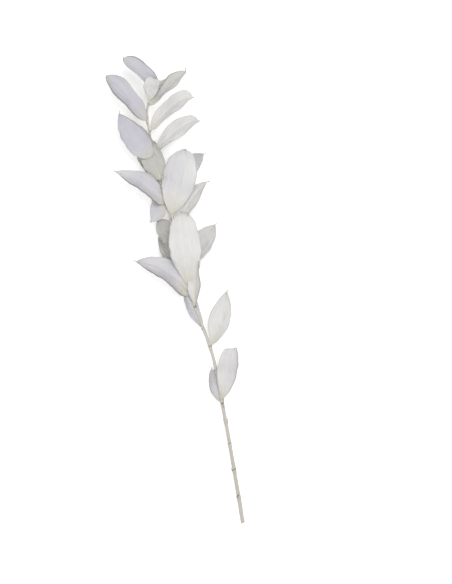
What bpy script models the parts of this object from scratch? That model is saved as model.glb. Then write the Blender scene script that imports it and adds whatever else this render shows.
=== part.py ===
# A bleached, dried ruscus stem, cut and lying on a flat surface.
# Metres and degrees. +Y runs from the cut end to the tip, +Z is up, and the surface is z = 0.
# The origin is on the surface, under the middle of the whole stem.
import math
import random

import bmesh
import bpy
from mathutils import Vector

# The stem's course: (across, along, height of its middle line), measured from the cut end
STEM_COURSE = (
    (0.000, 0.000, 0.0021),
    (0.001, 0.020, 0.0021),
    (0.004, 0.080, 0.0042),
    (0.007, 0.160, 0.0085),
    (0.008, 0.230, 0.0130),
    (-0.003, 0.315, 0.0180),
    (-0.008, 0.420, 0.0225),
    (-0.011, 0.510, 0.0260),
    (-0.008, 0.560, 0.0285),
    (0.002, 0.586, 0.0305),
)
CUT_END = (0.0045, -0.3205)  # the cut end's place, seen from the origin
CUT_RADIUS = 0.0026
TIP_RADIUS = 0.0013
STEM_STATIONS = 44
STEM_SIDES = 8  # one of them faces the surface
NODE_SWELLING = 0.0004
NODE_REACH = 0.004  # how far along the stem a swelling runs
SCAR_HEIGHTS = (0.034, 0.072, 0.108, 0.138, 0.205)  # leafless nodes low on the stem
SCAR_RADIUS = 0.0013

# The blades
BLADE_THICKNESS = 0.0009
STALK_SHARE = 0.06  # of a leaf's length
STALK_WIDTH = 0.0018
SPIKE_SHARE = 0.04
SPIKE_WIDTH = 0.0010
TAPER = 2.1  # larger draws both ends of a blade out more
CREASE_SHARE = 0.12  # of the half width, where the crease along the midrib has its full angle
CURL_FROM = 0.66  # where an edge starts to curl, as a share of the half width
WAVE_HEIGHT = 0.0022
TWIST_SHARE = 0.2  # of its length, by which a leaf has its full roll
ROWS = 12
ROW_CROWDING = 0.07  # draws the rows towards both ends
COLUMNS = 4
COLUMN_CROWDING = 0.6  # under 1 draws the columns out towards the edges
FINE_STEPS = 8  # between two rows, along the middle line
SECTION_STEPS = 40  # from the midrib to a column, across the blade
SEED = 7

# A leaf as most of them grow, in metres and degrees; shares are of its own length
USUAL_LEAF = {
    "widest": 0.48,
    "full": 1.25,  # more rounds out both ends of the blade
    "roll": 0,  # right edge up
    "cup": 30,  # how far both edges rise
    "fold": 7,  # crease along the midrib
    "sweep": 0,  # how far it turns to the right
    "turn_by": 1.0,  # the share by which that turn is done
    "droop": 10,  # how far it sinks towards the tip
    "bend": 0,  # a bend down near the tip, where it is, and the share it takes to either side
    "bend_at": 0.8,
    "bend_spread": 0.05,
    "curl_left": 0,  # how far an edge curls up
    "curl_right": 0,
}

# The foot is measured along the stem, the heading from the stem's tip to the right as seen from above,
# and the rise up from the surface
LEAVES = [USUAL_LEAF | form for form in (
    {"foot": 0.160, "heading": -6, "rise": 3, "length": 0.053, "width": 0.021, "roll": -10, "cup": 35,
     "sweep": 2, "droop": 8, "curl_left": -30},
    {"foot": 0.164, "heading": 24, "rise": 14, "length": 0.086, "width": 0.028, "widest": 0.54, "full": 1.45,
     "roll": 6, "cup": 10, "fold": 5, "sweep": -5, "droop": 14, "bend": 95, "bend_at": 0.84,
     "curl_right": 25},
    {"foot": 0.238, "heading": 36, "rise": 2, "length": 0.082, "width": 0.031, "roll": 16, "sweep": -16,
     "droop": 6},
    {"foot": 0.262, "heading": -20, "rise": 6, "length": 0.060, "width": 0.021, "widest": 0.56, "roll": -25,
     "cup": 40, "sweep": 10, "droop": 8},
    {"foot": 0.296, "heading": 13, "rise": 22, "length": 0.074, "width": 0.022, "full": 1.3, "roll": 35,
     "cup": 45, "sweep": 2, "droop": 26, "curl_right": -50},
    {"foot": 0.308, "heading": -16, "rise": 18, "length": 0.098, "width": 0.039, "widest": 0.36, "full": 1.5,
     "roll": -30, "cup": 40, "sweep": -60, "droop": 26, "curl_left": -70},
    {"foot": 0.318, "heading": 8, "rise": 28, "length": 0.119, "width": 0.043, "widest": 0.54, "full": 1.45,
     "roll": 4, "cup": -18, "fold": 4, "sweep": -4, "droop": 32, "bend": 75, "bend_at": 0.87,
     "bend_spread": 0.14},
    {"foot": 0.335, "heading": -20, "rise": -12, "length": 0.072, "width": 0.026, "roll": -8, "sweep": -2,
     "droop": 0},
    {"foot": 0.352, "heading": 58, "rise": -8, "length": 0.076, "width": 0.033, "roll": 16, "cup": 26,
     "sweep": -18},
    {"foot": 0.378, "heading": -20, "rise": -4, "length": 0.047, "width": 0.029, "full": 1.7, "roll": -5,
     "sweep": -8, "droop": 14},
    {"foot": 0.392, "heading": 28, "rise": 12, "length": 0.090, "width": 0.033, "roll": 34, "cup": 40,
     "sweep": 30, "droop": 16},
    {"foot": 0.416, "heading": 24, "rise": 24, "length": 0.106, "width": 0.046, "widest": 0.55, "full": 1.35,
     "roll": 6, "cup": -24, "fold": 4, "droop": 28, "bend": 70, "bend_at": 0.87, "bend_spread": 0.14},
    {"foot": 0.430, "heading": -76, "rise": 4, "length": 0.042, "width": 0.035, "widest": 0.48, "full": 2.2,
     "roll": -6, "cup": -8, "fold": 4, "sweep": -4, "droop": 10, "bend": 82, "bend_at": 0.5,
     "bend_spread": 0.08},
    {"foot": 0.4346, "heading": -28, "rise": 20, "length": 0.088, "width": 0.033, "widest": 0.38, "full": 1.5,
     "roll": -38, "cup": 40, "sweep": -34, "droop": 22, "curl_left": -75},
    {"foot": 0.452, "heading": 50, "rise": -20, "length": 0.086, "width": 0.032, "widest": 0.46, "roll": 10,
     "cup": 24, "sweep": 14, "droop": 6},
    {"foot": 0.458, "heading": -8, "rise": -22, "length": 0.084, "width": 0.034, "widest": 0.62, "full": 1.3,
     "cup": 22, "sweep": -6, "droop": 0},
    {"foot": 0.466, "heading": -6, "rise": 4, "length": 0.066, "width": 0.031, "widest": 0.46, "full": 1.3,
     "roll": 12, "cup": 6, "droop": 0},
    {"foot": 0.500, "heading": -40, "rise": 17, "length": 0.080, "width": 0.036, "widest": 0.4, "full": 1.5,
     "roll": -6, "cup": 24, "sweep": 28, "droop": 22, "curl_right": -40},
    {"foot": 0.506, "heading": 50, "rise": 12, "length": 0.082, "width": 0.025, "widest": 0.58, "full": 2.0,
     "roll": 26, "cup": 22, "sweep": 30, "droop": 14, "bend": 85, "bend_at": 0.9},
    {"foot": 0.534, "heading": 42, "rise": 12, "length": 0.083, "width": 0.025, "widest": 0.6, "full": 2.0,
     "roll": 26, "cup": 22, "sweep": 40, "droop": 10, "bend": 85, "bend_at": 0.9},
    {"foot": 0.546, "heading": -22, "rise": 14, "length": 0.088, "width": 0.029, "widest": 0.56, "full": 1.9,
     "roll": -26, "cup": 42, "sweep": -14, "droop": 14, "curl_left": -80},
    {"foot": 0.556, "heading": -30, "rise": -14, "length": 0.055, "width": 0.020, "cup": 32, "droop": -8},
    {"foot": 0.568, "heading": 57, "rise": 14, "length": 0.073, "width": 0.021, "widest": 0.55, "full": 2.2,
     "roll": 34, "cup": 26, "sweep": 6, "droop": 8, "bend": 35, "bend_at": 0.88, "bend_spread": 0.1,
     "curl_left": -40},
    {"foot": 0.572, "heading": 25, "rise": 28, "length": 0.039, "width": 0.022, "widest": 0.76, "full": 1.7,
     "cup": 22, "droop": 0, "bend": 60, "bend_at": 0.85, "bend_spread": 0.14},
    {"foot": 0.577, "heading": 50, "rise": 14, "length": 0.077, "width": 0.025, "widest": 0.6, "full": 1.7,
     "roll": -22, "cup": 36, "sweep": -92, "turn_by": 0.5, "droop": 14, "curl_right": -60},
    {"foot": 0.580, "heading": 52, "rise": 4, "length": 0.033, "width": 0.011, "roll": 20, "cup": 40},
    {"foot": 0.584, "heading": -4, "rise": 4, "length": 0.024, "width": 0.010, "roll": -10, "cup": 40},
)]


def remove_all_objects():
    for existing in list(bpy.data.objects):
        bpy.data.objects.remove(existing)


def new_collection(name):
    collection = bpy.data.collections.new(name)
    bpy.context.scene.collection.children.link(collection)
    return collection


def bleached_material():
    material = bpy.data.materials.new("bleached_leaf")
    material.use_nodes = True
    shader = material.node_tree.nodes["Principled BSDF"]
    shader.inputs["Base Color"].default_value = (0.74, 0.74, 0.73, 1)
    shader.inputs["Roughness"].default_value = 0.62
    shader.inputs["Metallic"].default_value = 0
    return material


def smooth(low, high, value):
    """0 up to low, 1 from high on, with a soft start and end between them."""
    x = min(max((value - low) / (high - low), 0), 1)
    return x * x * (3 - 2 * x)


def stem_point(along):
    """The middle line at this distance along the stem, on a smooth curve through STEM_COURSE."""
    course = STEM_COURSE
    last = len(course) - 2
    i = max(k for k in range(last + 1) if k == 0 or course[k][1] <= along)
    before, start = Vector(course[max(i - 1, 0)]), Vector(course[i])
    end, after = Vector(course[i + 1]), Vector(course[min(i + 2, last + 1)])
    t = (along - start.y) / (end.y - start.y)
    start_slope = (end - before) / (end.y - before.y) * (end.y - start.y)
    end_slope = (after - start) / (after.y - start.y) * (end.y - start.y)
    point = (
        start * (2 * t**3 - 3 * t**2 + 1)
        + start_slope * (t**3 - 2 * t**2 + t)
        + end * (3 * t**2 - 2 * t**3)
        + end_slope * (t**3 - t**2)
    )
    return Vector((point.x, along, point.z))


def stem_radius(along):
    """The stem thins towards its tip, and swells a little where each leaf grows."""
    share = along / STEM_COURSE[-1][1]
    plain = CUT_RADIUS + (TIP_RADIUS - CUT_RADIUS) * share
    nearest = min(abs(along - leaf["foot"]) for leaf in LEAVES)
    return plain + NODE_SWELLING * (1 - 0.5 * share) * math.exp(-((nearest / NODE_REACH) ** 2))


def placed(point):
    """A point measured from the cut end, as seen from the origin, and no lower than the surface."""
    return Vector((point.x + CUT_END[0], point.y + CUT_END[1], max(point.z, 0)))


def make_stem(collection):
    """A tapering tube along the middle line, made a closed mesh."""
    curve = bpy.data.curves.new("stem_line", "CURVE")
    curve.dimensions = "3D"
    curve.bevel_depth = 1
    curve.bevel_resolution = 2
    curve.use_fill_caps = True
    spline = curve.splines.new("POLY")
    spline.points.add(STEM_STATIONS - 1)
    for i, station in enumerate(spline.points):
        along = STEM_COURSE[-1][1] * i / (STEM_STATIONS - 1)
        station.co = (*stem_point(along), 1)
        station.radius = stem_radius(along)
        station.tilt = math.pi / STEM_SIDES
    guide = bpy.data.objects.new("stem_line", curve)
    collection.objects.link(guide)
    bpy.context.view_layer.update()
    graph = bpy.context.evaluated_depsgraph_get()
    mesh = bpy.data.meshes.new_from_object(guide.evaluated_get(graph))
    bpy.data.objects.remove(guide)
    tube = bmesh.new()
    tube.from_mesh(mesh)
    bmesh.ops.remove_doubles(tube, verts=tube.verts, dist=0.00001)
    for vertex in tube.verts:
        vertex.co = placed(vertex.co)
    bmesh.ops.recalc_face_normals(tube, faces=tube.faces)
    tube.to_mesh(mesh)
    tube.free()
    stem = bpy.data.objects.new("leafy_stem", mesh)
    collection.objects.link(stem)
    return stem


def half_width(t, leaf):
    """Half a leaf's width at this share of its length: a narrow stalk, the blade, and a thin spike."""
    x = min(max((t - STALK_SHARE) / (1 - STALK_SHARE - SPIKE_SHARE), 0), 1)
    widest = leaf["widest"]
    a, b = TAPER * widest, TAPER * (1 - widest)
    blade = ((x / widest) ** a * ((1 - x) / (1 - widest)) ** b) ** (1 / leaf["full"])
    least = STALK_WIDTH + (SPIKE_WIDTH - STALK_WIDTH) * t
    return max(leaf["width"] * blade, least) / 2


def leaf_frames(leaf):
    """The leaf's middle line and its sideways and upward directions, at each row from foot to tip."""
    point = stem_point(leaf["foot"])
    frames, reached = [], 0.0
    spread = leaf["bend_spread"]
    for step in range(ROWS * FINE_STEPS + 1):
        v = step / (ROWS * FINE_STEPS)
        t = v - ROW_CROWDING * math.sin(2 * math.pi * v)
        middle = (t + reached) / 2
        bent = leaf["bend"] * smooth(leaf["bend_at"] - spread, leaf["bend_at"] + spread, middle)
        way = math.radians(leaf["heading"] + leaf["sweep"] * min(middle / leaf["turn_by"], 1))
        slope = math.radians(leaf["rise"] - leaf["droop"] * middle - bent)
        forward = Vector(
            (math.sin(way) * math.cos(slope), math.cos(way) * math.cos(slope), math.sin(slope))
        )
        point = point + forward * leaf["length"] * (t - reached)
        reached = t
        if step % FINE_STEPS == 0:
            flat_side = Vector((math.cos(way), -math.sin(way), 0))
            flat_up = flat_side.cross(forward)
            turn = math.radians(leaf["roll"]) * min(t / TWIST_SHARE, 1)
            side = flat_side * math.cos(turn) + flat_up * math.sin(turn)
            up = flat_up * math.cos(turn) - flat_side * math.sin(turn)
            frames.append((t, point, side, up))
    return frames


def across_section(leaf, u):
    """Sideways place and lift at u across a blade whose half width is 1: cupped, creased and curled."""
    curl = leaf["curl_right"] if u > 0 else leaf["curl_left"]
    place, lift = 0.0, 0.0
    for step in range(SECTION_STEPS):
        reach = abs(u) * (step + 0.5) / SECTION_STEPS
        crease = leaf["fold"] * min(reach / CREASE_SHARE, 1)
        slope = math.radians(leaf["cup"] * reach + crease + curl * smooth(CURL_FROM, 1, reach))
        place += math.cos(slope) * u / SECTION_STEPS
        lift += math.sin(slope) * abs(u) / SECTION_STEPS
    return place, lift


def make_leaf(collection, name, leaf, draw):
    """A waved blade on a short stalk, whose foot is sunk in the middle of the stem."""
    frames = leaf_frames(leaf)
    waves = draw.uniform(1.2, 2.2)
    phases = (draw.uniform(0, 2 * math.pi), draw.uniform(0, 2 * math.pi))
    blade = bmesh.new()
    bmesh.ops.create_grid(blade, x_segments=COLUMNS, y_segments=ROWS, size=1)
    for vertex in blade.verts:
        u = math.copysign(abs(vertex.co.x) ** COLUMN_CROWDING, vertex.co.x)
        t, point, side, up = frames[round((vertex.co.y + 1) / 2 * ROWS)]
        half = half_width(t, leaf)
        wave = math.sin(2 * math.pi * waves * t + phases[u > 0]) * abs(u) ** 3
        across, lift = across_section(leaf, u)
        lift = half * lift + WAVE_HEIGHT * wave * 2 * half / leaf["width"]
        place = placed(point + side * half * across + up * lift)
        place.z = max(place.z, BLADE_THICKNESS / 2)
        vertex.co = place
    bmesh.ops.triangulate(blade, faces=blade.faces, quad_method="FIXED")
    mesh = bpy.data.meshes.new(name)
    blade.to_mesh(mesh)
    blade.free()
    leaf_object = bpy.data.objects.new(name, mesh)
    collection.objects.link(leaf_object)
    solid = leaf_object.modifiers.new("thickness", "SOLIDIFY")
    solid.thickness = BLADE_THICKNESS
    solid.offset = 0
    return leaf_object


def make_scar(collection, name, along, quarter):
    """The small bump that a lost leaf leaves on the bare stem."""
    middle = stem_point(along)
    angle = math.radians(90 * quarter)
    out = Vector((math.cos(angle), 0, math.sin(angle))) * stem_radius(along)
    bump = bmesh.new()
    bmesh.ops.create_icosphere(bump, subdivisions=1, radius=SCAR_RADIUS)
    bmesh.ops.scale(bump, vec=(1, 1.8, 1), verts=bump.verts)
    bmesh.ops.translate(bump, vec=placed(middle + out), verts=bump.verts)
    mesh = bpy.data.meshes.new(name)
    bump.to_mesh(mesh)
    bump.free()
    collection.objects.link(bpy.data.objects.new(name, mesh))


def fuse(stem, repeats):
    """Joins the stem and everything that grows from it in one body."""
    union = stem.modifiers.new("fused", "BOOLEAN")
    union.operation = "UNION"
    union.operand_type = "COLLECTION"
    union.collection = repeats
    union.solver = "EXACT"
    bpy.context.view_layer.update()
    graph = bpy.context.evaluated_depsgraph_get()
    fused = bpy.data.meshes.new_from_object(stem.evaluated_get(graph))
    stem.modifiers.clear()
    stem.data = fused
    for repeat in list(repeats.objects):
        bpy.data.objects.remove(repeat)


def keep_largest_body(mesh):
    """Drops loose scraps, and the inner skins of hollows that the joining sealed."""
    body = bmesh.new()
    body.from_mesh(mesh)
    left, groups = set(body.verts), []
    while left:
        group, edge = set(), [left.pop()]
        while edge:
            vertex = edge.pop()
            group.add(vertex)
            for link in vertex.link_edges:
                other = link.other_vert(vertex)
                if other in left:
                    left.remove(other)
                    edge.append(other)
        groups.append(group)
    largest = max(groups, key=len)
    scraps = [vertex for group in groups if group is not largest for vertex in group]
    bmesh.ops.delete(body, geom=scraps, context="VERTS")
    body.to_mesh(mesh)
    body.free()


def main():
    remove_all_objects()
    part = new_collection("dried_ruscus_stem")
    repeats = new_collection("leaves_and_scars")
    draw = random.Random(SEED)
    stem = make_stem(part)
    for number, leaf in enumerate(LEAVES, 1):
        make_leaf(repeats, f"leaf_{number:02}", leaf, draw)
    for number, along in enumerate(SCAR_HEIGHTS, 1):
        make_scar(repeats, f"scar_{number}", along, number)
    fuse(stem, repeats)
    keep_largest_body(stem.data)
    stem.data.materials.clear()
    stem.data.materials.append(bleached_material())
    stem.data.shade_smooth()
    stem.data.set_sharp_from_angle(angle=math.radians(40))


main()
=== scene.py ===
import math
import random

import bmesh
import bpy
import numpy as np
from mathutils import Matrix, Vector, noise


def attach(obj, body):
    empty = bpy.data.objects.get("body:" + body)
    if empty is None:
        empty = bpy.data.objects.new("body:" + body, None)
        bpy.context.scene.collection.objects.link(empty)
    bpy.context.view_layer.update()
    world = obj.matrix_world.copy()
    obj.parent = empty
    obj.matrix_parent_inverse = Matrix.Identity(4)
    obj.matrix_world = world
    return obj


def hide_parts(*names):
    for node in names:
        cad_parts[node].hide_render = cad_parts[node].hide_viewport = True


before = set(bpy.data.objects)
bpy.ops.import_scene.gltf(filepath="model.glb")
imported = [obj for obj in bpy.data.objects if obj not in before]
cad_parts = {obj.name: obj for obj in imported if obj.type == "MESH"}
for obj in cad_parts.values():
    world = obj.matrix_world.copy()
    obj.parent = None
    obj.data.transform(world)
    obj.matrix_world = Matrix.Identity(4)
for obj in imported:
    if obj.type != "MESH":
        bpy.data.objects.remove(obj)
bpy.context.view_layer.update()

# Where the stem lies, in metres and degrees: +Y runs from the cut end to the tip
stem = {
    "course": (  # across, along and height of the middle line, measured from the cut end
        (0.000, 0.000, 0.0021),
        (0.001, 0.020, 0.0021),
        (0.004, 0.080, 0.0042),
        (0.007, 0.160, 0.0085),
        (0.008, 0.230, 0.0130),
        (-0.003, 0.315, 0.0180),
        (-0.008, 0.420, 0.0225),
        (-0.011, 0.510, 0.0260),
        (-0.008, 0.560, 0.0285),
        (0.002, 0.586, 0.0305),
    ),
    "cutEnd": (0.0045, -0.3205),  # seen from the frame's origin
    "cutRadius": 0.0026,
    "tipRadius": 0.0013,
    "nodeSwelling": 0.0004,
    "swellingLoss": 0.5,  # how much less a node swells at the tip
    "nodeReach": 0.004,  # how far a swelling runs to either side
    "nodeSpotReach": 0.0035,  # and how far its dark spots do
    "stations": 520,
    "sides": 36,
    "slopeStep": 0.001,  # the stem's direction is measured over this much to either side
    "ribs": 11,  # fine lengthwise ribs round the stem
    "ribTwist": 5,  # radians a metre
    "ribDepth": 0.021,  # of the radius
    "lumps": 60,  # to a metre
    "lumpDepth": 0.07,  # of the radius
    "scars": (0.034, 0.072, 0.108, 0.138, 0.205),  # nodes that lost their leaves
    "nubHeight": 0.0009,  # what a lost leaf leaves standing out
    "nubReach": 0.0018,
    "cutSlant": 0.0006,
    "cutFray": 0.0003,
    "frayScale": 4,
    "cutRings": (0.12, 0.3, 0.45, 0.7, 0.88, 0.97),  # of the radius
}

# A leaf as most of them grow, in metres and degrees; shares are of its own length
usualLeaf = {
    "widest": 0.48,
    "full": 1.25,  # more rounds out both ends of the blade
    "roll": 0,  # right edge up
    "cup": 30,  # how far both edges rise
    "fold": 7,  # crease along the midrib
    "sweep": 0,  # how far it turns to the right
    "turnBy": 1.0,  # the share by which that turn is done
    "droop": 10,  # how far it sinks towards the tip
    "bend": 0,  # a bend down near the tip, where it is, and the share it takes to either side
    "bendAt": 0.8,
    "bendSpread": 0.05,
    "curlLeft": 0,  # how far an edge curls up
    "curlRight": 0,
    "spike": 0.04,  # the share that the spike at the tip takes
    "hook": 35,  # how far that spike turns to the right
    "tint": 0.1,  # 0 lilac grey, 0.5 ivory, 1 the greenish grey of a leaf's back; partly painted shade, since the lilac grey is darker for leaves that face away from the light and the greenish grey also goes on leaves that lie in shade
    "cream": 0.45,  # how creamy its foot is
}

# heading is measured from the stem's tip to the right, seen from above, and rise up from the surface
leaves = [usualLeaf | form for form in (
    {"foot": 0.160, "heading": -6, "rise": 3, "length": 0.053, "width": 0.021, "roll": -10, "cup": 35,
     "sweep": 2, "droop": 8, "curlLeft": -30},
    {"foot": 0.164, "heading": 24, "rise": 14, "length": 0.086, "width": 0.028, "widest": 0.54,
     "full": 1.45, "roll": 6, "cup": 10, "fold": 5, "sweep": -5, "droop": 14, "bend": 95, "bendAt": 0.84,
     "curlRight": 25, "tint": 0.26},
    {"foot": 0.238, "heading": 36, "rise": 2, "length": 0.082, "width": 0.031, "roll": 16, "sweep": -16,
     "droop": 6, "tint": 0.3},
    {"foot": 0.262, "heading": -20, "rise": 6, "length": 0.060, "width": 0.021, "widest": 0.56, "roll": -25,
     "cup": 40, "sweep": 10, "droop": 8, "tint": 0.05},
    {"foot": 0.296, "heading": 13, "rise": 22, "length": 0.074, "width": 0.022, "full": 1.3, "roll": 35,
     "cup": 45, "sweep": 2, "droop": 26, "curlRight": -50, "tint": 0.6},
    {"foot": 0.308, "heading": -16, "rise": 18, "length": 0.098, "width": 0.039, "widest": 0.36,
     "full": 1.5, "roll": -30, "cup": 40, "sweep": -60, "droop": 26, "curlLeft": -70, "tint": 0.2,
     "cream": 0.75},
    {"foot": 0.318, "heading": 8, "rise": 28, "length": 0.119, "width": 0.043, "widest": 0.54,
     "full": 1.45, "roll": 4, "cup": -18, "fold": 4, "sweep": -4, "droop": 32, "bend": 75, "bendAt": 0.87,
     "bendSpread": 0.14, "tint": 0.42, "cream": 0.6},
    {"foot": 0.335, "heading": -20, "rise": -12, "length": 0.072, "width": 0.026, "roll": -8, "sweep": -2,
     "droop": 0, "tint": 0.85},
    {"foot": 0.352, "heading": 58, "rise": -8, "length": 0.076, "width": 0.033, "roll": 16, "cup": 26,
     "sweep": -18, "tint": 0.3},
    {"foot": 0.378, "heading": -20, "rise": -4, "length": 0.047, "width": 0.029, "full": 1.7, "roll": -5,
     "sweep": -8, "droop": 14, "tint": 0.9},
    {"foot": 0.392, "heading": 28, "rise": 12, "length": 0.090, "width": 0.033, "roll": 34, "cup": 40,
     "sweep": 30, "droop": 16, "tint": 0.35},
    {"foot": 0.416, "heading": 24, "rise": 24, "length": 0.106, "width": 0.046, "widest": 0.55,
     "full": 1.35, "roll": 6, "cup": -24, "fold": 4, "droop": 28, "bend": 70, "bendAt": 0.87,
     "bendSpread": 0.14, "tint": 0.36, "cream": 0.6},
    {"foot": 0.430, "heading": -76, "rise": 4, "length": 0.042, "width": 0.035, "full": 2.2, "roll": -6,
     "cup": -8, "fold": 4, "sweep": -4, "bend": 82, "bendAt": 0.5, "bendSpread": 0.08, "tint": 0.12},
    {"foot": 0.4346, "heading": -28, "rise": 20, "length": 0.088, "width": 0.033, "widest": 0.38,
     "full": 1.5, "roll": -38, "cup": 40, "sweep": -34, "droop": 22, "curlLeft": -75, "tint": 0.14},
    {"foot": 0.452, "heading": 50, "rise": -20, "length": 0.086, "width": 0.032, "widest": 0.46,
     "roll": 10, "cup": 24, "sweep": 14, "droop": 6, "tint": 0.3},
    {"foot": 0.458, "heading": -8, "rise": -22, "length": 0.084, "width": 0.034, "widest": 0.62,
     "full": 1.3, "cup": 22, "sweep": -6, "droop": 0, "tint": 1.0},
    {"foot": 0.466, "heading": -6, "rise": 4, "length": 0.066, "width": 0.031, "widest": 0.46, "full": 1.3,
     "roll": 12, "cup": 6, "droop": 0, "tint": 1.0},
    {"foot": 0.500, "heading": -40, "rise": 17, "length": 0.080, "width": 0.036, "widest": 0.4,
     "full": 1.5, "roll": -6, "cup": 24, "sweep": 28, "droop": 22, "curlRight": -40, "tint": 0.0},
    {"foot": 0.506, "heading": 50, "rise": 12, "length": 0.082, "width": 0.025, "widest": 0.58,
     "full": 2.0, "roll": 26, "cup": 22, "sweep": 30, "droop": 14, "bend": 85, "bendAt": 0.9,
     "tint": 0.35},
    {"foot": 0.534, "heading": 42, "rise": 12, "length": 0.083, "width": 0.025, "widest": 0.6, "full": 2.0,
     "roll": 26, "cup": 22, "sweep": 40, "bend": 85, "bendAt": 0.9, "tint": 0.38},
    {"foot": 0.546, "heading": -22, "rise": 14, "length": 0.088, "width": 0.029, "widest": 0.56,
     "full": 1.9, "roll": -26, "cup": 42, "sweep": -14, "droop": 14, "curlLeft": -80, "hook": 60,
     "tint": 0.03},
    {"foot": 0.556, "heading": -30, "rise": -14, "length": 0.055, "width": 0.020, "cup": 32, "droop": -8,
     "tint": 0.8},
    {"foot": 0.568, "heading": 57, "rise": 14, "length": 0.078, "width": 0.021, "widest": 0.55,
     "full": 2.2, "roll": 34, "cup": 26, "sweep": 6, "droop": 8, "bend": 35, "bendAt": 0.82,
     "bendSpread": 0.1, "curlLeft": -40, "spike": 0.1, "hook": -70, "tint": 0.78},
    {"foot": 0.572, "heading": 25, "rise": 28, "length": 0.039, "width": 0.022, "widest": 0.76,
     "full": 1.7, "cup": 22, "droop": 0, "bend": 60, "bendAt": 0.85, "bendSpread": 0.14, "tint": 0.5},
    {"foot": 0.577, "heading": 50, "rise": 14, "length": 0.077, "width": 0.025, "widest": 0.6, "full": 1.7,
     "roll": -22, "cup": 36, "sweep": -92, "turnBy": 0.5, "droop": 14, "curlRight": -60, "tint": 0.14},
    {"foot": 0.580, "heading": 52, "rise": 4, "length": 0.033, "width": 0.011, "roll": 20, "cup": 40,
     "tint": 0.7},
    {"foot": 0.584, "heading": -4, "rise": 4, "length": 0.024, "width": 0.010, "roll": -10, "cup": 40,
     "tint": 0.5},
)]


# Shapes that many pieces use
def smooth(low, high, value):  # 0 up to low, 1 from high on, soft at both ends
    x = min(max((value - low) / (high - low), 0), 1)
    return x * x * (3 - 2 * x)


def bell(distance, reach):  # 1 at no distance, and nearly gone at twice the reach
    return math.exp(-((distance / reach) ** 2))


def roundTurn(count):  # the angles of that many points round a ring
    return [math.tau * k / count for k in range(count)]


def stemPoint(along):  # the middle line, a smooth curve through the course's points
    course = stem["course"]
    last = len(course) - 2
    i = max(k for k in range(last + 1) if k == 0 or course[k][1] <= along)
    before, start = Vector(course[max(i - 1, 0)]), Vector(course[i])
    end, after = Vector(course[i + 1]), Vector(course[min(i + 2, last + 1)])
    t = (along - start.y) / (end.y - start.y)
    startSlope = (end - before) / (end.y - before.y) * (end.y - start.y)
    endSlope = (after - start) / (after.y - start.y) * (end.y - start.y)
    point = (
        start * (2 * t**3 - 3 * t**2 + 1)
        + startSlope * (t**3 - 2 * t**2 + t)
        + end * (3 * t**2 - 2 * t**3)
        + endSlope * (t**3 - t**2)
    )
    return Vector((point.x, along, point.z))


def stemFrame(along):  # the middle line there, with the ways forward, to the right and up
    length, step = stem["course"][-1][1], stem["slopeStep"]
    forward = (stemPoint(min(along + step, length)) - stemPoint(max(along - step, 0))).normalized()
    side = forward.cross(Vector((0, 0, 1))).normalized()
    return stemPoint(along), forward, side, side.cross(forward)


def nearestNode(along):  # distance to the closest place where a leaf grows, or grew
    return min(abs(along - place) for place in [leaf["foot"] for leaf in leaves] + list(stem["scars"]))


def stemRadius(along):
    share = along / stem["course"][-1][1]
    plain = stem["cutRadius"] + (stem["tipRadius"] - stem["cutRadius"]) * share
    swelling = stem["nodeSwelling"] * (1 - stem["swellingLoss"] * share)
    return plain + swelling * bell(nearestNode(along), stem["nodeReach"])


def placed(point, least=0):  # from the stem's own frame into the model's, and no lower than the surface
    x, y = stem["cutEnd"]
    return Vector((point.x + x, point.y + y, max(point.z, least)))


def lofted(name, skins, grid, gridName, marks):  # a closed skin through each list of rings of points
    skin = bmesh.new()
    uvLayer = skin.loops.layers.uv.new(gridName)
    for rings in skins:
        verts = [[skin.verts.new(point) for point in ring] for ring in rings]
        count = len(rings[0])
        for row in range(len(rings) - 1):
            for k in range(count):
                after = (k + 1) % count
                corners = ((row, k), (row, after), (row + 1, after), (row + 1, k))
                face = skin.faces.new([verts[r][c] for r, c in corners])
                for loop, (r, c) in zip(face.loops, corners):
                    loop[uvLayer].uv = grid(r, count if c == 0 and k == count - 1 else c)
        skin.faces.new(list(reversed(verts[0])))
        skin.faces.new(verts[-1])
    bmesh.ops.recalc_face_normals(skin, faces=skin.faces)
    mesh = bpy.data.meshes.new(name)
    skin.to_mesh(mesh)
    skin.free()
    for marksName, values in marks.items():
        layer = mesh.color_attributes.new(marksName, "FLOAT_COLOR", "POINT")
        layer.data.foreach_set("color", np.array(values, np.float32).ravel())
    return mesh


def newPiece(name, mesh, material):
    piece = bpy.data.objects.new(name, mesh)
    bpy.context.scene.collection.objects.link(piece)
    mesh.materials.append(material)
    mesh.shade_smooth()
    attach(piece, "root")
    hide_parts("leafy_stem")


# Small helpers for materials
def nodesOf(name):
    material = bpy.data.materials.new(name)
    material.use_nodes = True
    tree = material.node_tree
    return material, tree, tree.nodes["Principled BSDF"]


def mathNode(tree, operation, a, b=None, clamp=False):
    node = tree.nodes.new("ShaderNodeMath")
    node.operation = operation
    node.use_clamp = clamp
    for socket, value in zip(node.inputs, (a, b)):
        if isinstance(value, (int, float)):
            socket.default_value = value
        elif value is not None:
            tree.links.new(value, socket)
    return node.outputs[0]


def times(tree, a, b):
    return mathNode(tree, "MULTIPLY", a, b)


def plus(tree, a, b, clamp=False):
    return mathNode(tree, "ADD", a, b, clamp)


def stepped(tree, value, low, high):  # 0 below low, 1 above high
    node = tree.nodes.new("ShaderNodeMapRange")
    node.interpolation_type = "SMOOTHSTEP"
    tree.links.new(value, node.inputs["Value"])
    node.inputs["From Min"].default_value = low
    node.inputs["From Max"].default_value = high
    return node.outputs["Result"]


def fading(tree, value, low, high):  # 1 below low, 0 above high
    return mathNode(tree, "SUBTRACT", 1.0, stepped(tree, value, low, high))


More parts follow.
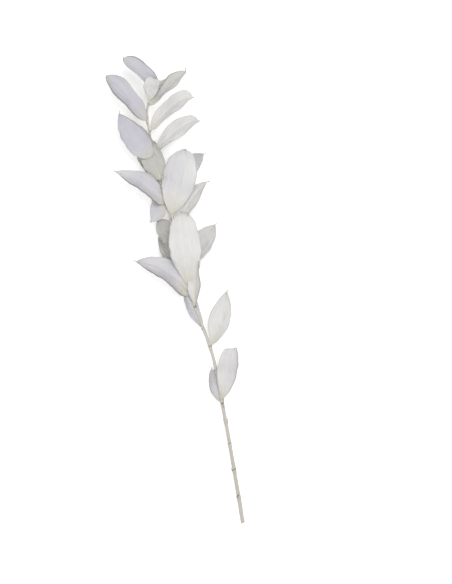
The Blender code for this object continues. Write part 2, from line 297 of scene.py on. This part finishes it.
def mixColour(tree, amount, first, second):
    node = tree.nodes.new("ShaderNodeMix")
    node.data_type = "RGBA"
    for socket, value in ((node.inputs[0], amount), (node.inputs[6], first), (node.inputs[7], second)):
        if isinstance(value, tuple):
            socket.default_value = (*value, 1)
        else:
            tree.links.new(value, socket)
    return node.outputs[2]


def tinged(tree, colour, mask, share, towards):  # that share of another colour wherever the mask is 1
    return mixColour(tree, times(tree, mask, share), colour, towards)


def noiseNode(tree, place, scale, detail):  # three scales draw the noise out unlike ways
    node = tree.nodes.new("ShaderNodeTexNoise")
    if isinstance(scale, tuple):
        stretch = tree.nodes.new("ShaderNodeVectorMath")
        stretch.operation = "MULTIPLY"
        tree.links.new(place, stretch.inputs[0])
        stretch.inputs[1].default_value = scale
        place, scale = stretch.outputs[0], 1.0
    node.inputs["Scale"].default_value = scale
    node.inputs["Detail"].default_value = detail
    node.inputs["Roughness"].default_value = 0.55
    tree.links.new(place, node.inputs["Vector"])
    return node.outputs["Fac"]


def attributeParts(tree, name):
    node = tree.nodes.new("ShaderNodeAttribute")
    node.attribute_name = name
    parts = tree.nodes.new("ShaderNodeSeparateColor")
    tree.links.new(node.outputs["Color"], parts.inputs[0])
    return parts.outputs[0], parts.outputs[1], parts.outputs[2], node.outputs["Alpha"]


def uvPlace(tree, name):
    node = tree.nodes.new("ShaderNodeUVMap")
    node.uv_map = name
    return node.outputs[0]


def dress(tree, shader, finish, colour, height):
    bump = tree.nodes.new("ShaderNodeBump")
    bump.inputs["Strength"].default_value = finish["bumpStrength"]
    bump.inputs["Distance"].default_value = finish["bumpDepth"]
    tree.links.new(height, bump.inputs["Height"])
    tree.links.new(bump.outputs["Normal"], shader.inputs["Normal"])
    tree.links.new(colour, shader.inputs["Base Color"])
    shader.inputs["Roughness"].default_value = finish["roughness"]
    shader.inputs["Specular IOR Level"].default_value = finish["shine"]


# The stem's bark; a range says where a pattern starts and where it is full
stemFinish = {
    "pale": (0.62, 0.615, 0.560),
    "tan": (0.54, 0.51, 0.46),
    # groove: the colour of the dark streaks, and of the painted shade in the grooves between the ribs
    "groove": (0.35, 0.325, 0.285),
    "node": (0.15, 0.11, 0.075),
    "cut": (0.62, 0.56, 0.44),
    "pith": (0.36, 0.29, 0.20),
    "paleRange": (0.10, 0.75),  # of the stem's length, from the cut end
    "patches": (2, 26, 1),  # how many round the stem and along it
    "patchRange": (0.4, 0.7),
    "patchShare": 0.5,
    "streaks": (11, 42, 1),
    "streakRange": (0.45, 0.75),
    "streakShare": 0.35,
    "grooveShadeShare": 0.35,
    "spots": (3, 160, 1),
    "spotRange": (0.50, 0.66),
    "spotShare": 0.8,
    "pithRange": (0.45, 0.75),
    "fibres": (60, 90, 1),
    "roughness": 0.6,
    "shine": 0.35,
    "bumpShare": 0.6,
    "bumpStrength": 0.5,
    "bumpDepth": 0.0003,
}


def stemMaterial():
    finish = stemFinish
    material, tree, shader = nodesOf("stemBark")
    along, groove, node, cut = attributeParts(tree, "stemPlace")
    grid = uvPlace(tree, "stemGrid")
    streak = noiseNode(tree, grid, finish["streaks"], 4)
    patch = noiseNode(tree, grid, finish["patches"], 3)
    fibre = noiseNode(tree, grid, finish["fibres"], 3)
    spots = noiseNode(tree, grid, finish["spots"], 2)
    bark = mixColour(tree, stepped(tree, along, *finish["paleRange"]), finish["tan"], finish["pale"])
    patches = stepped(tree, patch, *finish["patchRange"])
    bark = tinged(tree, bark, patches, finish["patchShare"], finish["pale"])
    streaks = stepped(tree, streak, *finish["streakRange"])
    bark = tinged(tree, bark, streaks, finish["streakShare"], finish["groove"])
    # painted shade in the grooves between the fine ribs
    bark = tinged(tree, bark, groove, finish["grooveShadeShare"], finish["groove"])
    spot = times(tree, node, stepped(tree, spots, *finish["spotRange"]))
    bark = tinged(tree, bark, spot, finish["spotShare"], finish["node"])
    cutFace = mixColour(tree, stepped(tree, groove, *finish["pithRange"]), finish["cut"], finish["pith"])
    share = finish["bumpShare"]
    height = plus(tree, times(tree, streak, share), times(tree, fibre, share))
    dress(tree, shader, finish, mixColour(tree, cut, bark, cutFace), height)
    return material


def scarAngle(number):  # the lost leaves stood a quarter turn apart
    return math.radians(90 * number)


def nubHeight(along, angle):
    height = 0
    for number, scar in enumerate(stem["scars"], 1):
        facing = max(math.cos(angle - scarAngle(number)), 0)
        height += stem["nubHeight"] * facing**3 * bell(along - scar, stem["nubReach"])
    return height


def stemRing(along, inset, onCut):  # points round the stem there, and what its material reads
    centre, _, side, up = stemFrame(along)
    radius, node = stemRadius(along), bell(nearestNode(along), stem["nodeSpotReach"])
    share = along / stem["course"][-1][1]
    ring, marks = [], []
    for angle in roundTurn(stem["sides"]):
        rib = math.cos(stem["ribs"] * angle + stem["ribTwist"] * along)
        lump = noise.noise(Vector((math.cos(angle), math.sin(angle), along * stem["lumps"])))
        r = radius * (1 + stem["ribDepth"] * rib + stem["lumpDepth"] * lump) + nubHeight(along, angle)
        r *= inset
        point = centre + side * r * math.cos(angle) + up * r * math.sin(angle)
        if onCut:
            fray = noise.noise(Vector((math.cos(angle), math.sin(angle), inset)) * stem["frayScale"])
            point.y += stem["cutSlant"] * math.cos(angle) * inset + stem["cutFray"] * fray
        ring.append(placed(point))
        # the second mark is how deep in a groove a point lies, for the painted shade there, and on the cut
        # face how near the pith
        marks.append((share, 0.5 - 0.5 * rib if inset == 1 else 1 - inset, node, onCut))
    return ring, marks


def makeStem():
    length = stem["course"][-1][1]
    stations = [(0.0, inset) for inset in stem["cutRings"]]  # the cut face, from its pith outwards
    stations += [(length * i / (stem["stations"] - 1), 1.0) for i in range(stem["stations"])]
    rings, marks = [], []
    for number, (along, inset) in enumerate(stations):
        ring, ringMarks = stemRing(along, inset, number <= len(stem["cutRings"]))
        rings.append(ring)
        marks += ringMarks

    def gridPlace(row, c):
        return c / stem["sides"], row / stem["stations"]

    mesh = lofted("stem", [rings], gridPlace, "stemGrid", {"stemPlace": marks})
    newPiece("stem", mesh, stemMaterial())
    print("stem made")


# The small dry scale under each leaf
scale = {
    "length": 0.0075,
    "width": 0.0034,
    "thickness": 0.00024,  # half of it
    "sizes": (0.75, 1.2),  # the smallest and the largest, against those
    "footWidth": 0.55,  # of the full width, which it has from wideFrom on
    "wideFrom": 0.3,
    "narrowing": 1.6,  # larger keeps it wide for longer
    "point": 0.8,  # larger makes the tip sharper
    "tipWidth": 0.04,
    "foot": 0.7,  # its distance from the stem's middle line, in radii
    "hug": 0.5,  # how far it bends round the stem, and half of that at the tip
    "lean": 16,  # degrees away from the stem
    "curve": 34,  # how far its tip turns back outwards
    "curveLag": 0.3,  # the share of that turn by which the foot leans inwards
    "twist": 0.25,  # at most, to either side
    "turn": 2.4,  # round the stem, for each degree of its leaf's heading
    "below": 0.0030,  # from the leaf's foot
    "rows": 16,
    "ring": 14,
    "seed": 11,
}

scaleFinish = {
    "papery": (0.50, 0.45, 0.35),
    "brown": (0.20, 0.145, 0.09),
    "streaks": (5, 1.5, 1),
    "toneShare": 0.5,  # how much browner one scale is than another
    "streakShare": 0.5,
    "tipRange": (0.35, 1.0),
    "tipShare": 0.45,
    "roughness": 0.7,
    "shine": 0.3,
    "bumpStrength": 0.5,
    "bumpDepth": 0.0003,
}


def scaleMaterial():
    finish = scaleFinish
    material, tree, shader = nodesOf("dryScale")
    along, tone, _, _ = attributeParts(tree, "scalePlace")
    streak = noiseNode(tree, uvPlace(tree, "scaleGrid"), finish["streaks"], 3)
    amount = plus(tree, times(tree, tone, finish["toneShare"]), times(tree, streak, finish["streakShare"]))
    tip = times(tree, stepped(tree, along, *finish["tipRange"]), finish["tipShare"])
    amount = plus(tree, amount, tip, clamp=True)
    dress(tree, shader, finish, mixColour(tree, amount, finish["papery"], finish["brown"]), streak)
    return material


def scaleHalfWidth(t, size):
    foot = scale["footWidth"]
    shape = (1 - t ** scale["narrowing"]) ** scale["point"]
    shape *= foot + (1 - foot) * smooth(0, scale["wideFrom"], t)
    return scale["width"] * size / 2 * max(shape, scale["tipWidth"])


def scaleRings(along, angle, size, twist):
    centre, forward, side, up = stemFrame(along)
    out = side * math.cos(angle) + up * math.sin(angle)
    sideways = forward.cross(out)
    point = centre + out * stemRadius(along) * scale["foot"]
    rings = []
    step = scale["length"] * size / scale["rows"]
    for row in range(scale["rows"] + 1):
        t = row / scale["rows"]
        slope = math.radians(scale["lean"] + scale["curve"] * (t * t - scale["curveLag"]))
        heading = forward * math.cos(slope) + out * math.sin(slope) + sideways * twist * t
        lift = (out - heading * out.dot(heading)).normalized()
        half = scaleHalfWidth(t, size)
        ring = []
        for turn in roundTurn(scale["ring"]):
            u = math.cos(turn)
            high = scale["thickness"] * math.sin(turn) - scale["hug"] * half * u * u * (1 - t / 2)
            ring.append(placed(point + sideways * half * u + lift * high))
        rings.append(ring)
        point = point + heading.normalized() * step
    return rings


def makeScales():
    draw = random.Random(scale["seed"])
    skins, marks = [], []
    places = [(leaf["foot"], math.radians(90 - leaf["heading"] * scale["turn"])) for leaf in leaves]
    places += [(along, scarAngle(number)) for number, along in enumerate(stem["scars"], 1)]
    for along, angle in places:
        size, twist = draw.uniform(*scale["sizes"]), draw.uniform(-scale["twist"], scale["twist"])
        rings = scaleRings(along - scale["below"], angle, size, twist)
        skins.append(rings)
        tone = draw.random()
        marks += [(row / scale["rows"], tone, 0, 1) for row in range(len(rings)) for _ in rings[row]]

    def gridPlace(row, c):
        return math.cos(math.tau * c / scale["ring"]), row / scale["rows"]

    mesh = lofted("scaleLeaves", skins, gridPlace, "scaleGrid", {"scalePlace": marks})
    newPiece("scaleLeaves", mesh, scaleMaterial())
    print(len(skins), "scale leaves made")


# The leaves' colours; a range says where a pattern starts and where it is full
leafFinish = {
    # lilac grey, partly the leaf's own colour and partly darkened as painted shade for leaves that face away
    # from the light
    "lilac": (0.535, 0.530, 0.590),
    "ivory": (0.730, 0.725, 0.710),
    # the greenish grey of a leaf's back, also painted as shade on the upper faces of leaves that lie in
    # shade
    "backAndShade": (0.475, 0.475, 0.445),
    "cream": (0.68, 0.64, 0.49),
    # edge: the darker colour of veins and fibres, and of the rim, which is partly the margin's own colour
    # and partly painted shade
    "edge": (0.33, 0.32, 0.30),
    # painted shade for edges that curl away
    "curlShade": (0.20, 0.195, 0.19),
    "fleck": (0.36, 0.29, 0.20),
    "blotches": 14,
    "blotchiness": 0.9,  # how far soft patches shift the tint
    "ivoryRange": (0.0, 0.5),  # of the tint
    "backRange": (0.55, 1.0),
    "toneShare": 0.18,  # how much paler one leaf is than another
    "underShare": 0.8,  # how much of the back's colour the underside has
    "footRange": (0.02, 0.40),  # the creamy foot fades along these shares of the length
    "stalkRange": (0.02, 0.08),
    "stalkShare": 0.45,
    "tipRange": (0.93, 1.0),
    "tipShare": 0.62,
    "veins": 13,  # from edge to edge
    "veinSharpness": 5.0,
    "veinShare": 0.13,
    "drift": (2.4, 3.52, 1.6),  # how often the veins wander
    "driftReach": 0.16,
    "fibres": (34, 1.6, 1),
    "fibreRange": (0.35, 0.75),
    "fibreShare": 0.15,
    "midribWidth": 0.07,  # of the half width
    "midribShare": 0.14,
    "mottling": 38,
    "mottleRange": (0.45, 0.75),
    "mottleShare": 0.10,
    # a thin darker rim at every margin: partly the margin's own colour, partly painted shade where it turns
    # away
    "rimRange": (0.90, 1.0),  # of the half width
    "rimShare": 0.55,
    "curlShadeRange": (0.70, 0.98),  # painted shade along the strip where an edge curls
    "curlShadeShare": 0.85,
    "curlPower": 0.6,  # less than 1 puts painted shade on slight curls too
    "flecks": 260,
    "fleckRange": (0.70, 0.78),
    "fleckShare": 0.30,
    "roughness": 0.55,
    "shine": 0.35,
    "softness": 0.15,  # light that sinks into the blade
    "softColour": (1.0, 0.9, 0.8),
    "softDepth": 0.0010,
    "veinBump": 0.5,
    "fibreBump": 0.7,
    "mottleBump": 0.4,
    "bumpStrength": 0.5,
    "bumpDepth": 0.0005,
}


def leafLines(tree):  # the veins, the finest fibres between them, and the midrib
    finish = leafFinish
    grid = uvPlace(tree, "leafGrid")
    parts = tree.nodes.new("ShaderNodeSeparateXYZ")
    tree.links.new(grid, parts.inputs[0])
    across = parts.outputs[0]
    drift = times(tree, noiseNode(tree, grid, finish["drift"], 2), finish["driftReach"])
    wave = mathNode(tree, "SINE", times(tree, plus(tree, across, drift), math.pi * finish["veins"]))
    vein = mathNode(tree, "POWER", mathNode(tree, "ABSOLUTE", wave), finish["veinSharpness"])
    fibre = noiseNode(tree, grid, finish["fibres"], 3)
    midrib = fading(tree, mathNode(tree, "ABSOLUTE", across), 0.0, finish["midribWidth"])
    return vein, fibre, midrib


def leafFace(tree, place, tint, tone, underside):  # a leaf's tint, partly its own colour and partly painted shade, warmer or cooler in soft patches
    finish = leafFinish
    blotch = mathNode(tree, "SUBTRACT", noiseNode(tree, place, finish["blotches"], 2), 0.5)
    blotched = plus(tree, tint, times(tree, blotch, finish["blotchiness"]), clamp=True)
    ivory = stepped(tree, blotched, *finish["ivoryRange"])
    face = mixColour(tree, ivory, finish["lilac"], finish["ivory"])
    face = mixColour(tree, stepped(tree, tint, *finish["backRange"]), face, finish["backAndShade"])
    face = tinged(tree, face, tone, finish["toneShare"], finish["ivory"])
    return face, times(tree, underside, finish["underShare"])


def leafEnds(tree, face, along, outward, curl):  # margins darken, partly in their own colour and partly as painted shade, most where they curl, which is painted shade; the tip darkens in its own brown
    finish = leafFinish
    # the rim is partly the margin's own colour and partly painted shade
    rim = stepped(tree, outward, *finish["rimRange"])
    face = tinged(tree, face, rim, finish["rimShare"], finish["edge"])
    # painted shade on the strip where an edge curls
    strip = stepped(tree, outward, *finish["curlShadeRange"])
    curlShade = times(tree, strip, mathNode(tree, "POWER", curl, finish["curlPower"]))
    face = tinged(tree, face, curlShade, finish["curlShadeShare"], finish["curlShade"])
    tip = stepped(tree, along, *finish["tipRange"])
    return tinged(tree, face, tip, finish["tipShare"], finish["fleck"])


def leafMaterial():
    finish = leafFinish
    material, tree, shader = nodesOf("bleachedLeaf")
    along, outward, underside, tint = attributeParts(tree, "leafPlace")
    curl, tone, cream, _ = attributeParts(tree, "leafMood")
    place = tree.nodes.new("ShaderNodeTexCoord").outputs["Object"]
    vein, fibre, midrib = leafLines(tree)
    mottle = noiseNode(tree, place, finish["mottling"], 4)
    face, under = leafFace(tree, place, tint, tone, underside)
    foot = fading(tree, along, *finish["footRange"])
    face = tinged(tree, face, foot, cream, finish["cream"])
    face = mixColour(tree, under, face, finish["backAndShade"])
    fibres = times(tree, stepped(tree, fibre, *finish["fibreRange"]), finish["fibreShare"])
    lines = plus(tree, times(tree, vein, finish["veinShare"]), fibres)
    face = mixColour(tree, lines, face, finish["edge"])
    stalk = fading(tree, along, *finish["stalkRange"])
    face = tinged(tree, face, stalk, finish["stalkShare"], finish["fleck"])
    face = tinged(tree, face, midrib, finish["midribShare"], finish["cream"])
    mottled = stepped(tree, mottle, *finish["mottleRange"])
    face = tinged(tree, face, mottled, finish["mottleShare"], finish["backAndShade"])
    face = leafEnds(tree, face, along, outward, curl)
    fleck = stepped(tree, noiseNode(tree, place, finish["flecks"], 2), *finish["fleckRange"])
    face = tinged(tree, face, fleck, finish["fleckShare"], finish["fleck"])
    height = plus(tree, times(tree, vein, finish["veinBump"]), times(tree, fibre, finish["fibreBump"]))
    height = plus(tree, height, times(tree, mottle, finish["mottleBump"]))
    dress(tree, shader, finish, face, height)
    shader.inputs["Subsurface Weight"].default_value = finish["softness"]
    shader.inputs["Subsurface Radius"].default_value = finish["softColour"]
    shader.inputs["Subsurface Scale"].default_value = finish["softDepth"]
    return material


# How every blade is made; shares along it are of its length, and across it of its half width
blade = {
    "rows": 110,
    "rowCrowding": 0.07,  # draws the rows towards both ends
    "ring": 80,  # points round each section of the leaf
    "profilePoints": 129,  # of the line from edge to edge that a section follows
    "stalkShare": 0.06,
    "stalkWidth": 0.0018,
    "stalkFullness": 0.8,  # its half thickness, as a share of its half width
    "stalkThickness": 0.0008,  # that half thickness at most
    "twistShare": 0.2,  # by which a leaf has its full roll
    "bladeFrom": (0.03, 0.16),  # where the stalk flattens into the blade
    "detailFrom": (0.1, 0.3),  # where the midrib and the ragged margins set in
    "crinkleFrom": (0.05, 0.3),
    "spikeWidth": 0.0006,
    "hookLead": 0.04,  # how far before the spike its turn begins
    "taper": 2.1,  # larger draws both ends of a blade out more
    "thickness": 0.00045,
    "marginBead": 0.00022,  # the thickened edge
    "beadWidth": 0.03,
    "marginFace": 0.05,  # how much of the rounded margin still shows the upper face's colour
    "midrib": 0.00035,
    "midribWidth": 0.09,
    "creaseShare": 0.12,
    "curlFrom": 0.66,  # where an edge starts to curl
    "fullCurl": 80,  # degrees at which it has its whole painted shade
    "veins": 9,  # raised lines from edge to edge
    "veinHeight": 0.00006,
    "waves": (1.2, 2.2),  # along one margin
    "waveHeight": 0.0022,
    "crinkle": 0.0012,  # dry unevenness of the whole face
    "crinkleScale": (1.5, 6),  # across and along
    "crinkleFine": (4, 15),
    "crinkleFineShare": 0.4,
    "furrowDepth": 0.0008,  # shallow troughs from foot to tip
    "furrowScale": (5, 1.8),
    "furrowSeed": 20,
    "raggedness": 0.09,  # of the half width, along the margins
    "raggedScale": 9,
    "raggedFine": 34,
    "raggedFineShare": 0.35,
    "raggedSeeds": (0, 5),  # for the left and the right margin
    "fullWidth": 0.03,  # leaves narrower than this are smoother
    "patternLength": 0.04,  # the fibres and veins repeat at this scale
    "noiseReach": 90,
    "seed": 7,
}


def rowShare(row):  # how far along its leaf a row is
    v = row / blade["rows"]
    return v - blade["rowCrowding"] * math.sin(math.tau * v)


def halfWidth(t, leaf):
    x = (t - blade["stalkShare"]) / (1 - blade["stalkShare"] - leaf["spike"])
    x = min(max(x, 0), 1)
    widest = leaf["widest"]
    a, b = blade["taper"] * widest, blade["taper"] * (1 - widest)
    face = ((x / widest) ** a * ((1 - x) / (1 - widest)) ** b) ** (1 / leaf["full"])
    least = blade["stalkWidth"] + (blade["spikeWidth"] - blade["stalkWidth"]) * t
    return max(leaf["width"] * face, least) / 2


def leafSections(leaf):  # the middle line, and the sideways and upward directions along it
    point = stemPoint(leaf["foot"])
    sections, reached = [], 0.0
    spread, spike = leaf["bendSpread"], leaf["spike"]
    for row in range(blade["rows"] + 1):
        t = rowShare(row)
        middle = (t + reached) / 2
        hooked = smooth(1 - spike - blade["hookLead"], 1 - spike / 3, middle)
        turned = leaf["sweep"] * min(middle / leaf["turnBy"], 1) + leaf["hook"] * hooked
        bent = leaf["bend"] * smooth(leaf["bendAt"] - spread, leaf["bendAt"] + spread, middle)
        way = math.radians(leaf["heading"] + turned)
        slope = math.radians(leaf["rise"] - leaf["droop"] * middle - bent)
        flatSide = Vector((math.cos(way), -math.sin(way), 0))
        forward = Vector((math.sin(way), math.cos(way), 0)) * math.cos(slope)
        forward.z = math.sin(slope)
        point = point + forward * leaf["length"] * (t - reached)
        reached = t
        flatUp = flatSide.cross(forward)
        turn = math.radians(leaf["roll"]) * min(t / blade["twistShare"], 1)
        side = flatSide * math.cos(turn) + flatUp * math.sin(turn)
        up = flatUp * math.cos(turn) - flatSide * math.sin(turn)
        sections.append((t, point, side, up))
    return sections


def leafProfile(leaf, us):  # sideways place, lift and slope at these places across, for a half width of 1
    u = np.linspace(-1, 1, blade["profilePoints"])
    edge = np.clip((np.abs(u) - blade["curlFrom"]) / (1 - blade["curlFrom"]), 0, 1)
    crease = np.clip(np.abs(u) / blade["creaseShare"], 0, 1)
    curls = np.where(u > 0, math.radians(leaf["curlRight"]), math.radians(leaf["curlLeft"]))
    slope = math.radians(leaf["cup"]) * u
    slope += np.sign(u) * (math.radians(leaf["fold"]) * crease + curls * edge**2 * (3 - 2 * edge))
    step = u[1] - u[0]
    middle = (slope[1:] + slope[:-1]) / 2
    x = np.concatenate([[0], np.cumsum(np.cos(middle)) * step])
    z = np.concatenate([[0], np.cumsum(np.sin(middle)) * step])
    centre = len(u) // 2
    return [np.interp(us, u, values) for values in (x - x[centre], z - z[centre], slope)]


def raggedMargins(t, seed, size):  # how far out the left and the right margin stand, near 1
    rough = blade["raggedness"] * smooth(*blade["detailFrom"], t) * size
    margins = []
    for own in blade["raggedSeeds"]:
        coarse = noise.noise(Vector((t * blade["raggedScale"], seed, own)))
        fine = noise.noise(Vector((t * blade["raggedFine"], seed, own)))
        margins.append(1 + rough * (coarse + blade["raggedFineShare"] * fine))
    return margins


def dryNoise(u, t, scales, seed):
    return noise.noise(Vector((u * scales[0], t * scales[1], seed)))


def dryLift(u, t, seed, size):  # crinkles and furrows of the dry blade, and the sunken midrib
    crinkle = dryNoise(u, t, blade["crinkleScale"], seed)
    crinkle += blade["crinkleFineShare"] * dryNoise(u, t, blade["crinkleFine"], seed)
    furrow = dryNoise(u, t, blade["furrowScale"], seed + blade["furrowSeed"])
    lift = blade["crinkle"] * crinkle * smooth(*blade["crinkleFrom"], t)
    lift += blade["furrowDepth"] * furrow * smooth(*blade["bladeFrom"], t)
    lift -= blade["midrib"] * bell(u, blade["midribWidth"]) * smooth(*blade["detailFrom"], t)
    return lift * size


def halfThickness(u, half, grown, size):  # the stalk's own, thinning to the blade's
    bead = blade["marginBead"] * bell(1 - abs(u), blade["beadWidth"])
    vein = blade["veinHeight"] * math.cos(math.pi * blade["veins"] * u) * grown * size
    thin = (blade["thickness"] + bead) / 2 + vein
    thick = min(half * blade["stalkFullness"], blade["stalkThickness"])
    return thick + (thin - thick) * grown


def bladeMesh(name, leaf, draw, detail):
    waves = draw.uniform(*blade["waves"])
    phases = (draw.uniform(0, math.tau), draw.uniform(0, math.tau))
    tone, seed = detail.random(), detail.uniform(0, blade["noiseReach"])
    size = min(leaf["width"] / blade["fullWidth"], 1)
    curls = [abs(leaf[edge]) / blade["fullCurl"] for edge in ("curlLeft", "curlRight")]
    angles = roundTurn(blade["ring"])
    us = np.cos(angles)
    xs, zs, slopes = leafProfile(leaf, us)
    rings, places, moods = [], [], []
    for t, point, side, up in leafSections(leaf):
        half = halfWidth(t, leaf)
        grown = smooth(*blade["bladeFrom"], t)
        margins = raggedMargins(t, seed, size)
        ring = []
        for k, angle in enumerate(angles):
            u, face, right = us[k], math.sin(angle), int(us[k] > 0)
            wave = math.sin(math.tau * waves * t + phases[right]) * abs(u) ** 3
            lift = half * zs[k] + blade["waveHeight"] * wave * 2 * half / leaf["width"]
            lift += dryLift(u, t, seed, size)
            middle = placed(point + side * half * xs[k] * margins[right] + up * lift, blade["thickness"] / 2)
            normal = up * math.cos(slopes[k]) - side * math.sin(slopes[k])
            out = math.copysign(math.sqrt(abs(face)), face) * halfThickness(u, half, grown, size)
            spot = middle + normal * out
            spot.z = max(spot.z, 0)
            ring.append(spot)
            places.append((t, abs(u), float(face < -blade["marginFace"]), leaf["tint"]))
            # how far each edge curls, which sets its painted shade
            moods.append((curls[right] * grown, tone, leaf["cream"], 1))
        rings.append(ring)

    def gridPlace(row, c):
        along = rowShare(row) * leaf["length"] / blade["patternLength"]
        return math.cos(math.tau * c / blade["ring"]), along

    return lofted(name, [rings], gridPlace, "leafGrid", {"leafPlace": places, "leafMood": moods})


def makeLeaves():
    material = leafMaterial()
    draw, detail = random.Random(blade["seed"]), random.Random(blade["seed"] + 1)
    for number, leaf in enumerate(leaves, 1):
        name = f"leaf{number:02}"
        newPiece(name, bladeMesh(name, leaf, draw, detail), material)
    print(len(leaves), "leaves made")


# The camera looks straight down, and is turned so that the stem leans as it does in the photo
photo = {
    "width": 452,  # pixels
    "height": 584,
    "metresAPixel": 0.00133,
    "cutEnd": (243, 524),  # the pixel where the stem was cut
    "lean": 12.3,  # degrees that the stem leans to the left
    "distance": 3.0,  # down to the leaves, about leafHeight above the surface
    "leafHeight": 0.02,
    "sensor": 24,
    "farthest": 20,
}


def makeCamera():
    lean = math.radians(photo["lean"])
    across = (photo["width"] / 2 - photo["cutEnd"][0]) * photo["metresAPixel"]
    upward = (photo["cutEnd"][1] - photo["height"] / 2) * photo["metresAPixel"]
    x = across * math.cos(lean) + upward * math.sin(lean) + stem["cutEnd"][0]
    y = upward * math.cos(lean) - across * math.sin(lean) + stem["cutEnd"][1]
    lens = bpy.data.cameras.new("camera")
    lens.sensor_fit = "VERTICAL"
    lens.sensor_height = photo["sensor"]
    lens.lens = photo["sensor"] * photo["distance"] / (photo["height"] * photo["metresAPixel"])
    lens.clip_end = photo["farthest"]
    camera = bpy.data.objects.new("camera", lens)
    camera.location = (x, y, photo["distance"] + photo["leafHeight"])
    camera.rotation_euler = (0, 0, -lean)
    bpy.context.scene.collection.objects.link(camera)
    bpy.context.scene.camera = camera


studio = {
    "white": (1, 1, 1),
    "floorSize": 8,
    "floorDrop": 0.0003,  # just clear of the leaves that rest on it
    "floorColour": (0.94, 0.94, 0.94),
    "floorGlow": 0.28,  # a faint light table, which keeps the shadows pale
    "floorRoughness": 0.9,
    "floorShine": 0.1,
    "skyStrength": 0.62,
    "lampSize": 1.3,
    "aim": (0, 0.05, 0),
    "keyPower": 32,
    "keyPlace": (0.80, 0.60, 2.6),
    "fillPower": 15,
    "fillPlace": (-0.95, -0.35, 2.6),
}


def makeFloor():
    plane = bmesh.new()
    bmesh.ops.create_grid(plane, x_segments=1, y_segments=1, size=studio["floorSize"] / 2)
    mesh = bpy.data.meshes.new("floor")
    plane.to_mesh(mesh)
    plane.free()
    floor = bpy.data.objects.new("floor", mesh)
    floor.location.z = -studio["floorDrop"]
    bpy.context.scene.collection.objects.link(floor)
    material, _, shader = nodesOf("floorPaper")
    shader.inputs["Base Color"].default_value = (*studio["floorColour"], 1)
    shader.inputs["Emission Color"].default_value = (*studio["white"], 1)
    shader.inputs["Emission Strength"].default_value = studio["floorGlow"]
    shader.inputs["Roughness"].default_value = studio["floorRoughness"]
    shader.inputs["Specular IOR Level"].default_value = studio["floorShine"]
    mesh.materials.append(material)


def makeLights():
    world = bpy.data.worlds.new("studio")
    world.use_nodes = True
    sky = world.node_tree.nodes["Background"]
    sky.inputs["Color"].default_value = (*studio["white"], 1)
    sky.inputs["Strength"].default_value = studio["skyStrength"]
    bpy.context.scene.world = world
    for name in ("key", "fill"):
        light = bpy.data.lights.new(name, "AREA")
        light.energy = studio[name + "Power"]
        light.size = studio["lampSize"]
        lamp = bpy.data.objects.new(name, light)
        lamp.location = studio[name + "Place"]
        lamp.rotation_euler = (Vector(studio["aim"]) - lamp.location).to_track_quat("-Z", "Y").to_euler()
        bpy.context.scene.collection.objects.link(lamp)
    bpy.context.scene.view_settings.view_transform = "Standard"


makeCamera()
makeLights()
makeFloor()
makeStem()
makeScales()
makeLeaves()
print("scene ready")
